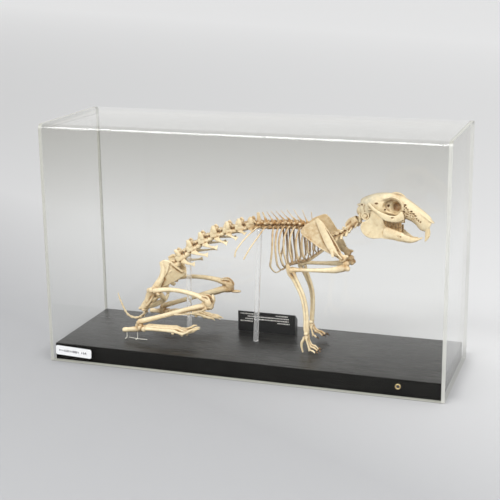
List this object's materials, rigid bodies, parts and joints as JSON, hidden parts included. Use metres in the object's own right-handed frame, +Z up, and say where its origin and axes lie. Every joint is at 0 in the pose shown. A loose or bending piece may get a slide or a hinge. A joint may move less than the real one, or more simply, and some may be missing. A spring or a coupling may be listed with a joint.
{
  "type": "mounted rabbit skeleton in a display case",
  "caption": "Mounted rabbit skeleton crouching on a black wooden base, held by clear support rods, with a small label block, under a clear acrylic display cover.",
  "frame": {"origin": "middle of the case's footprint, on the surface that it stands on", "axes": "+X along the case towards the rabbit's head, +Y across the case towards its back, +Z up"},
  "size_m": [0.46, 0.1492, 0.2772],
  "materials": {
    "bone": "dry cleaned bone, satin, with warm brown in the hollows",
    "far_bone": "dry cleaned bone, satin, a little darker and warmer",
    "black_base": "black painted wood, satin, with fine grain along its length",
    "clear_acrylic": "clear acrylic sheet and rod, polished",
    "brass": "small plain screw heads",
    "white_paper": "bare white paper sticker",
    "black_label": null,
    "steel_wire": "thin bright wire"
  },
  "bodies": {
    "root": {"atlas": "bone", "axis": "bone", "case_base": "black_base", "cover_end_left": "clear_acrylic", "cover_end_right": "clear_acrylic", "cover_screw_back_left": "brass", "cover_screw_back_right": "brass", "cover_screw_front": "brass", "cover_wrap": "clear_acrylic", "femur_left": "far_bone", "femur_right": "bone", "foot_left": "far_bone", "foot_right": "bone", "front_sticker": "white_paper", "hand_left": "far_bone", "hand_right": "bone", "humerus_left": "far_bone", "humerus_right": "bone", "label_block": "black_label", "lumbar_spine": "bone", "mandible": "bone", "neck_vertebrae": "bone", "patella_left": "far_bone", "patella_right": "bone", "pelvis_left": "far_bone", "pelvis_right": "bone", "radius_left": "far_bone", "radius_right": "bone", "rib_cage_left": "far_bone", "rib_cage_right": "bone", "sacrum": "bone", "scapula_left": "far_bone", "scapula_right": "bone", "skull": "bone", "stand_heel_wire_back": "steel_wire", "stand_heel_wire_front": "steel_wire", "stand_rod_front": "clear_acrylic", "stand_rod_hind": "clear_acrylic", "tail": "bone", "tarsus_left": "far_bone", "tarsus_right": "bone", "thoracic_spine": "bone", "tibia_left": "far_bone", "tibia_right": "bone", "ulna_left": "far_bone", "ulna_right": "bone"}
  },
  "joints": []
}
